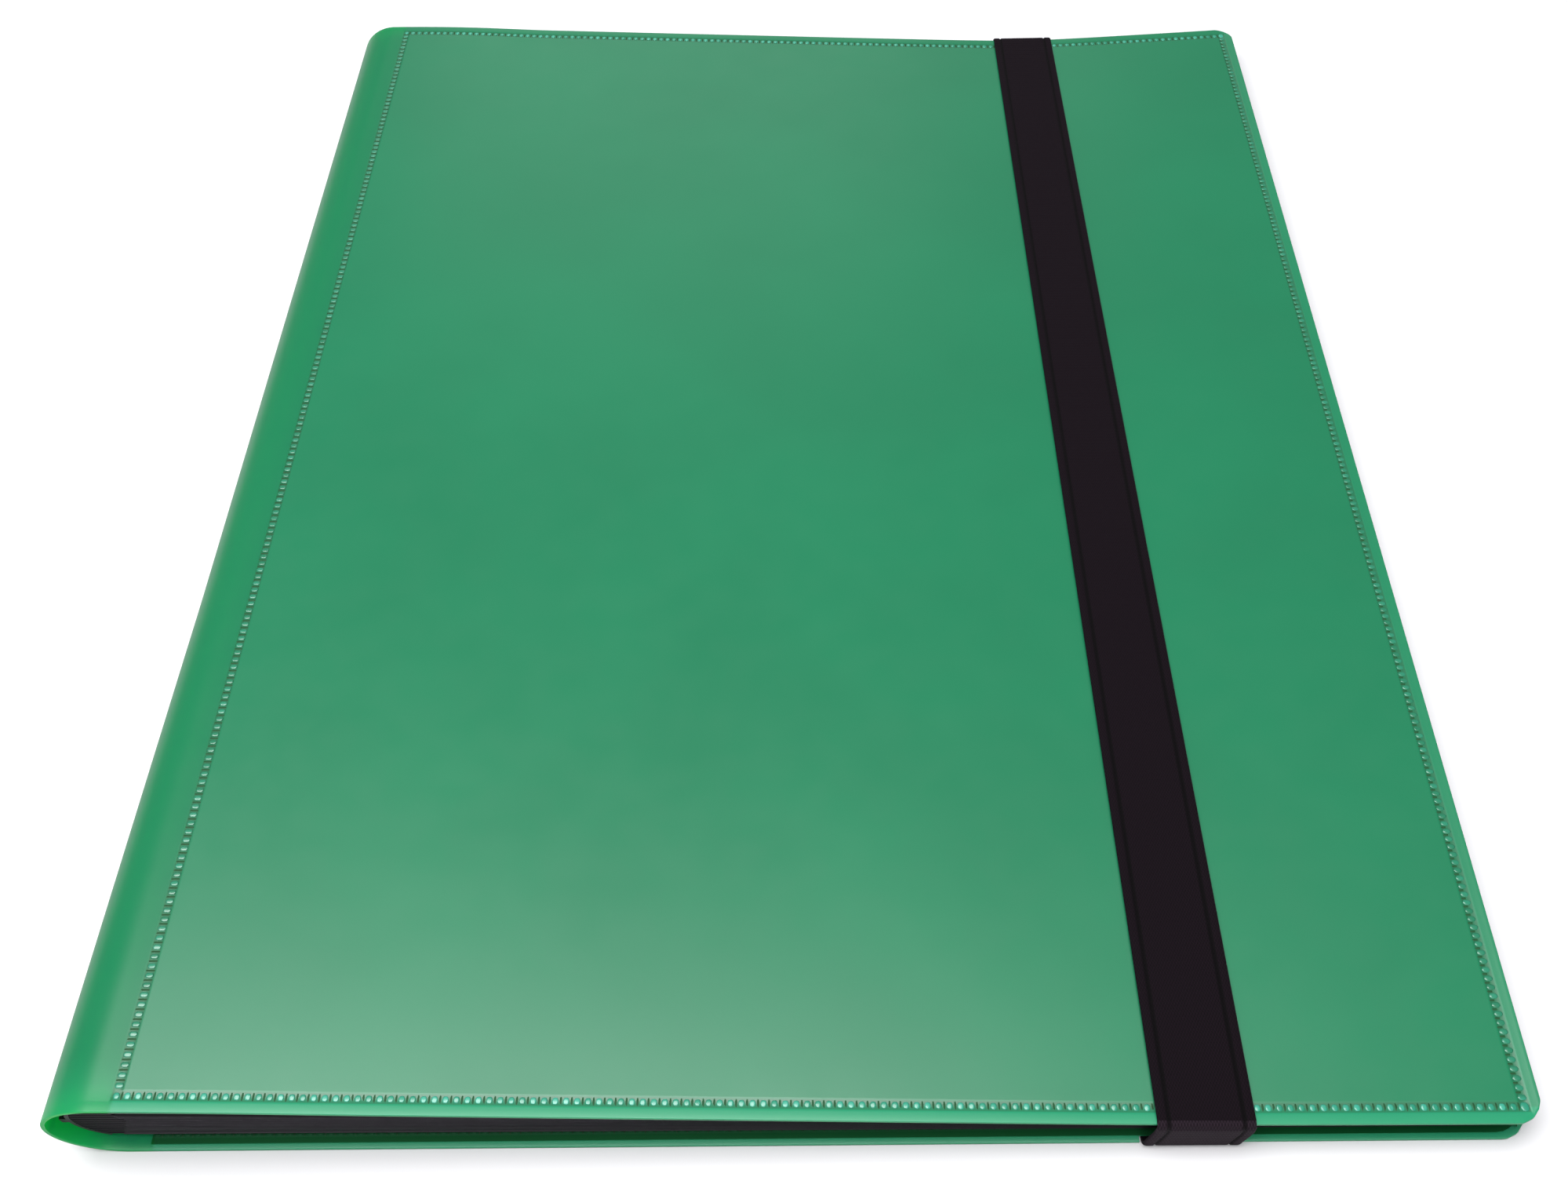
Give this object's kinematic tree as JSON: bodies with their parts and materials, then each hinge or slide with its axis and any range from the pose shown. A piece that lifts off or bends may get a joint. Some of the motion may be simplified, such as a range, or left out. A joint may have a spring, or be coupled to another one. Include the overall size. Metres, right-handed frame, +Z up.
{
  "type": "stamp album",
  "caption": "Side-bound pocket album with a flexible translucent green plastic cover, rounded spine, black leaves and a dark elastic strap that holds it closed.",
  "frame": {"origin": "on the resting face, under the middle of the closed album", "axes": "+X from the spine to the fore-edge, +Y from the tail to the head, +Z up through the front cover"},
  "size_m": [0.2702, 0.3388, 0.0226],
  "materials": {
    "cover_sheet": "satin translucent polypropylene",
    "cover_lining": "satin translucent polypropylene, welded in with a dotted seam",
    "leaf_binding": "matte black plastic strip",
    "leaf": "black core sheet under clear pocket film",
    "strap_webbing": "ribbed woven elastic"
  },
  "bodies": {
    "back_cover": {"back_cover_sheet": "cover_sheet", "back_lining": "cover_lining", "strap_end_tail": "strap_webbing", "strap_end_head": "strap_webbing"},
    "spine": {"spine_sheet": "cover_sheet", "leaf_binding": "leaf_binding"},
    "front_cover": {"front_cover_sheet": "cover_sheet", "front_lining": "cover_lining"},
    "leaf_01": {"leaf_01": "leaf"},
    "leaf_02": {"leaf_02": "leaf"},
    "leaf_03": {"leaf_03": "leaf"},
    "leaf_04": {"leaf_04": "leaf"},
    "leaf_05": {"leaf_05": "leaf"},
    "leaf_06": {"leaf_06": "leaf"},
    "leaf_07": {"leaf_07": "leaf"},
    "leaf_08": {"leaf_08": "leaf"},
    "leaf_09": {"leaf_09": "leaf"},
    "leaf_10": {"leaf_10": "leaf"},
    "leaf_11": {"leaf_11": "leaf"},
    "leaf_12": {"leaf_12": "leaf"},
    "leaf_13": {"leaf_13": "leaf"},
    "leaf_14": {"leaf_14": "leaf"},
    "leaf_15": {"leaf_15": "leaf"},
    "leaf_16": {"leaf_16": "leaf"},
    "leaf_17": {"leaf_17": "leaf"},
    "leaf_18": {"leaf_18": "leaf"},
    "leaf_19": {"leaf_19": "leaf"},
    "leaf_20": {"leaf_20": "leaf"},
    "strap_turns": {"strap_turn_tail": "strap_webbing", "strap_turn_head": "strap_webbing"},
    "strap": {"strap_span": "strap_webbing"}
  },
  "joints": [
    {"name": "cover_opening", "type": "hinge", "parent": "back_cover", "child": "spine", "pos_m": [-0.1324, 0, 0.00281], "axis": [0, -1, 0], "range_deg": [0, 91.39]},
    {"name": "front_cover_fold", "type": "hinge", "parent": "spine", "child": "front_cover", "pos_m": [-0.13197, 0, 0.02018], "axis": [0, -1, 0], "range_deg": [0, 91.39]},
    {"name": "leaf_01_turn", "type": "hinge", "parent": "spine", "child": "leaf_01", "pos_m": [-0.1245, 0, 0.00409], "axis": [0, -1, 0], "range_deg": [-92.87, 0]},
    {"name": "leaf_02_turn", "type": "hinge", "parent": "spine", "child": "leaf_02", "pos_m": [-0.12416, 0, 0.00484], "axis": [0, -1, 0], "range_deg": [-92.78, 0]},
    {"name": "leaf_03_turn", "type": "hinge", "parent": "spine", "child": "leaf_03", "pos_m": [-0.12382, 0, 0.00559], "axis": [0, -1, 0], "range_deg": [-92.69, 0]},
    {"name": "leaf_04_turn", "type": "hinge", "parent": "spine", "child": "leaf_04", "pos_m": [-0.12348, 0, 0.00634], "axis": [0, -1, 0], "range_deg": [-92.59, 0]},
    {"name": "leaf_05_turn", "type": "hinge", "parent": "spine", "child": "leaf_05", "pos_m": [-0.12314, 0, 0.00709], "axis": [0, -1, 0], "range_deg": [-92.5, 0]},
    {"name": "leaf_06_turn", "type": "hinge", "parent": "spine", "child": "leaf_06", "pos_m": [-0.12281, 0, 0.00785], "axis": [0, -1, 0], "range_deg": [-92.4, 0]},
    {"name": "leaf_07_turn", "type": "hinge", "parent": "spine", "child": "leaf_07", "pos_m": [-0.12247, 0, 0.0086], "axis": [0, -1, 0], "range_deg": [-92.31, 0]},
    {"name": "leaf_08_turn", "type": "hinge", "parent": "spine", "child": "leaf_08", "pos_m": [-0.12213, 0, 0.00935], "axis": [0, -1, 0], "range_deg": [-92.21, 0]},
    {"name": "leaf_09_turn", "type": "hinge", "parent": "spine", "child": "leaf_09", "pos_m": [-0.12179, 0, 0.0101], "axis": [0, -1, 0], "range_deg": [-92.12, 0]},
    {"name": "leaf_10_turn", "type": "hinge", "parent": "spine", "child": "leaf_10", "pos_m": [-0.12145, 0, 0.01085], "axis": [0, -1, 0], "range_deg": [-92.02, 0]},
    {"name": "leaf_11_turn", "type": "hinge", "parent": "spine", "child": "leaf_11", "pos_m": [-0.12143, 0, 0.01161], "axis": [0, -1, 0], "range_deg": [0, 92.02]},
    {"name": "leaf_12_turn", "type": "hinge", "parent": "spine", "child": "leaf_12", "pos_m": [-0.12173, 0, 0.01238], "axis": [0, -1, 0], "range_deg": [0, 92.12]},
    {"name": "leaf_13_turn", "type": "hinge", "parent": "spine", "child": "leaf_13", "pos_m": [-0.12204, 0, 0.01315], "axis": [0, -1, 0], "range_deg": [0, 92.21]},
    {"name": "leaf_14_turn", "type": "hinge", "parent": "spine", "child": "leaf_14", "pos_m": [-0.12234, 0, 0.01392], "axis": [0, -1, 0], "range_deg": [0, 92.31]},
    {"name": "leaf_15_turn", "type": "hinge", "parent": "spine", "child": "leaf_15", "pos_m": [-0.12264, 0, 0.01468], "axis": [0, -1, 0], "range_deg": [0, 92.4]},
    {"name": "leaf_16_turn", "type": "hinge", "parent": "spine", "child": "leaf_16", "pos_m": [-0.12294, 0, 0.01545], "axis": [0, -1, 0], "range_deg": [0, 92.5]},
    {"name": "leaf_17_turn", "type": "hinge", "parent": "spine", "child": "leaf_17", "pos_m": [-0.12324, 0, 0.01622], "axis": [0, -1, 0], "range_deg": [0, 92.59]},
    {"name": "leaf_18_turn", "type": "hinge", "parent": "spine", "child": "leaf_18", "pos_m": [-0.12355, 0, 0.01699], "axis": [0, -1, 0], "range_deg": [0, 92.69]},
    {"name": "leaf_19_turn", "type": "hinge", "parent": "spine", "child": "leaf_19", "pos_m": [-0.12385, 0, 0.01775], "axis": [0, -1, 0], "range_deg": [0, 92.78]},
    {"name": "leaf_20_turn", "type": "hinge", "parent": "spine", "child": "leaf_20", "pos_m": [-0.12415, 0, 0.01852], "axis": [0, -1, 0], "range_deg": [0, 92.87]},
    {"name": "strap_release", "type": "slide", "parent": "back_cover", "child": "strap_turns", "axis": [0, 0, 1], "range_m": [-0.0155, 0], "deforming": ["strap_span"]},
    {"name": "strap_lift", "type": "slide", "parent": "strap_turns", "child": "strap", "axis": [0, 0, 1], "range_m": [0, 0.025], "deforming": ["strap_turn_tail", "strap_turn_head"]}
  ],
  "couplings": [
    {"joint": "front_cover_fold", "follows": "cover_opening", "ratio": 1},
    {"joint": "leaf_01_turn", "follows": "cover_opening", "ratio": -1.0162},
    {"joint": "leaf_02_turn", "follows": "cover_opening", "ratio": -1.0152},
    {"joint": "leaf_03_turn", "follows": "cover_opening", "ratio": -1.0142},
    {"joint": "leaf_04_turn", "follows": "cover_opening", "ratio": -1.0131},
    {"joint": "leaf_05_turn", "follows": "cover_opening", "ratio": -1.0121},
    {"joint": "leaf_06_turn", "follows": "cover_opening", "ratio": -1.0111},
    {"joint": "leaf_07_turn", "follows": "cover_opening", "ratio": -1.01},
    {"joint": "leaf_08_turn", "follows": "cover_opening", "ratio": -1.009},
    {"joint": "leaf_09_turn", "follows": "cover_opening", "ratio": -1.0079},
    {"joint": "leaf_10_turn", "follows": "cover_opening", "ratio": -1.0069},
    {"joint": "leaf_11_turn", "follows": "cover_opening", "ratio": 1.0069},
    {"joint": "leaf_12_turn", "follows": "cover_opening", "ratio": 1.0079},
    {"joint": "leaf_13_turn", "follows": "cover_opening", "ratio": 1.009},
    {"joint": "leaf_14_turn", "follows": "cover_opening", "ratio": 1.01},
    {"joint": "leaf_15_turn", "follows": "cover_opening", "ratio": 1.0111},
    {"joint": "leaf_16_turn", "follows": "cover_opening", "ratio": 1.0121},
    {"joint": "leaf_17_turn", "follows": "cover_opening", "ratio": 1.0131},
    {"joint": "leaf_18_turn", "follows": "cover_opening", "ratio": 1.0142},
    {"joint": "leaf_19_turn", "follows": "cover_opening", "ratio": 1.0152},
    {"joint": "leaf_20_turn", "follows": "cover_opening", "ratio": 1.0162},
    {"joint": "strap_release", "follows": "cover_opening", "m_per_rad": -0.009655}
  ]
}
